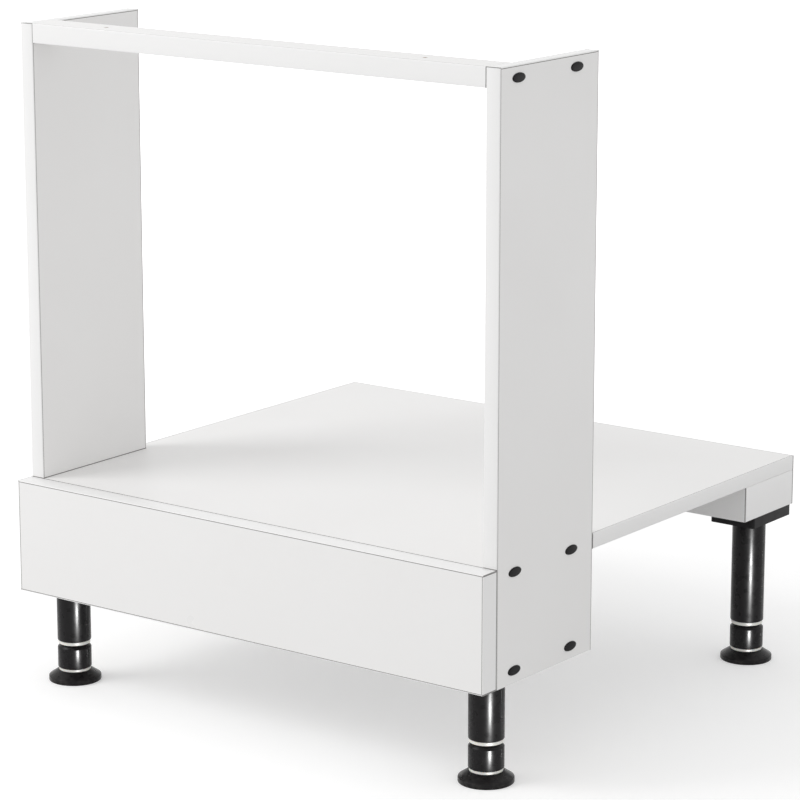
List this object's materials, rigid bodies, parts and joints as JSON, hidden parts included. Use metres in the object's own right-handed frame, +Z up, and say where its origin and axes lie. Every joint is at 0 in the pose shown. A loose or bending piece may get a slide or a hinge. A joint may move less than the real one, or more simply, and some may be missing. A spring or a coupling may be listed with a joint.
{
  "type": "oven housing unit",
  "caption": "White carcass for a built-in compact oven: two narrow side panels, a front rail, a deep oven shelf, a front fascia and black adjustable legs.",
  "frame": {"origin": "on the floor, under the middle of the unit's footprint", "axes": "+Z up; +Y from the fascia to the rear edge; +X to the right for someone facing the fascia"},
  "size_m": [0.6032, 0.582, 0.705],
  "materials": {
    "white_board": "melamine-faced chipboard, fine pearl texture",
    "white_front": "smooth satin white facing",
    "white_edging": "satin plastic edge band",
    "black_plastic": "moulded, semi-gloss",
    "pale_nylon": "natural nylon",
    "black_caps": "moulded, satin",
    "zinc_steel": "bright zinc",
    "beech": "fluted beech, unfinished"
  },
  "bodies": {
    "carcass": {"left_side_panel": "white_board", "right_side_panel": "white_board", "top_front_rail": "white_board", "oven_shelf": "white_board", "bottom_board": "white_board", "rear_bearer": "white_board", "front_fascia": "white_front", "left_panel_edging": "white_edging", "right_panel_edging": "white_edging", "rail_edging": "white_edging", "shelf_edging": "white_edging", "bottom_edging": "white_edging", "fascia_edging": "white_edging", "bearer_edging": "white_edging", "front_left_leg_plate": "black_plastic", "front_left_leg_tube": "black_plastic", "front_right_leg_plate": "black_plastic", "front_right_leg_tube": "black_plastic", "rear_left_leg_plate": "black_plastic", "rear_left_leg_tube": "black_plastic", "rear_right_leg_plate": "black_plastic", "rear_right_leg_tube": "black_plastic", "tube_slip_rings": "pale_nylon", "screw_caps": "black_caps", "link_bore_caps": "black_caps", "fascia_brackets": "zinc_steel", "carcass_screws": "zinc_steel", "bearer_screws": "zinc_steel", "bracket_screws": "zinc_steel", "front_plate_screws": "zinc_steel", "rear_plate_screws": "zinc_steel", "carcass_dowels": "beech", "fascia_dowels": "beech"},
    "front_left_collar": {"front_left_leg_collar": "black_plastic"},
    "front_left_foot": {"front_left_leg_foot": "black_plastic", "front_left_foot_ring": "pale_nylon"},
    "front_right_collar": {"front_right_leg_collar": "black_plastic"},
    "front_right_foot": {"front_right_leg_foot": "black_plastic", "front_right_foot_ring": "pale_nylon"},
    "rear_left_collar": {"rear_left_leg_collar": "black_plastic"},
    "rear_left_foot": {"rear_left_leg_foot": "black_plastic", "rear_left_foot_ring": "pale_nylon"},
    "rear_right_collar": {"rear_right_leg_collar": "black_plastic"},
    "rear_right_foot": {"rear_right_leg_foot": "black_plastic", "rear_right_foot_ring": "pale_nylon"}
  },
  "joints": [
    {"name": "front_left_collar_turn", "type": "hinge", "parent": "carcass", "child": "front_left_collar", "pos_m": [-0.27, -0.242, 0.03], "axis": [0, 0, 1], "range_deg": [0, 2250]},
    {"name": "front_left_foot_slide", "type": "slide", "parent": "carcass", "child": "front_left_foot", "axis": [0, 0, -1], "range_m": [0, 0.025]},
    {"name": "front_right_collar_turn", "type": "hinge", "parent": "carcass", "child": "front_right_collar", "pos_m": [0.27, -0.242, 0.03], "axis": [0, 0, 1], "range_deg": [0, 2250]},
    {"name": "front_right_foot_slide", "type": "slide", "parent": "carcass", "child": "front_right_foot", "axis": [0, 0, -1], "range_m": [0, 0.025]},
    {"name": "rear_left_collar_turn", "type": "hinge", "parent": "carcass", "child": "rear_left_collar", "pos_m": [-0.27, 0.251, 0.03], "axis": [0, 0, 1], "range_deg": [0, 2250]},
    {"name": "rear_left_foot_slide", "type": "slide", "parent": "carcass", "child": "rear_left_foot", "axis": [0, 0, -1], "range_m": [0, 0.025]},
    {"name": "rear_right_collar_turn", "type": "hinge", "parent": "carcass", "child": "rear_right_collar", "pos_m": [0.27, 0.251, 0.03], "axis": [0, 0, 1], "range_deg": [0, 2250]},
    {"name": "rear_right_foot_slide", "type": "slide", "parent": "carcass", "child": "rear_right_foot", "axis": [0, 0, -1], "range_m": [0, 0.025]}
  ],
  "couplings": [
    {"joint": "front_left_foot_slide", "follows": "front_left_collar_turn", "m_per_rad": 0.00063662},
    {"joint": "front_right_foot_slide", "follows": "front_right_collar_turn", "m_per_rad": 0.00063662},
    {"joint": "rear_left_foot_slide", "follows": "rear_left_collar_turn", "m_per_rad": 0.00063662},
    {"joint": "rear_right_foot_slide", "follows": "rear_right_collar_turn", "m_per_rad": 0.00063662}
  ]
}
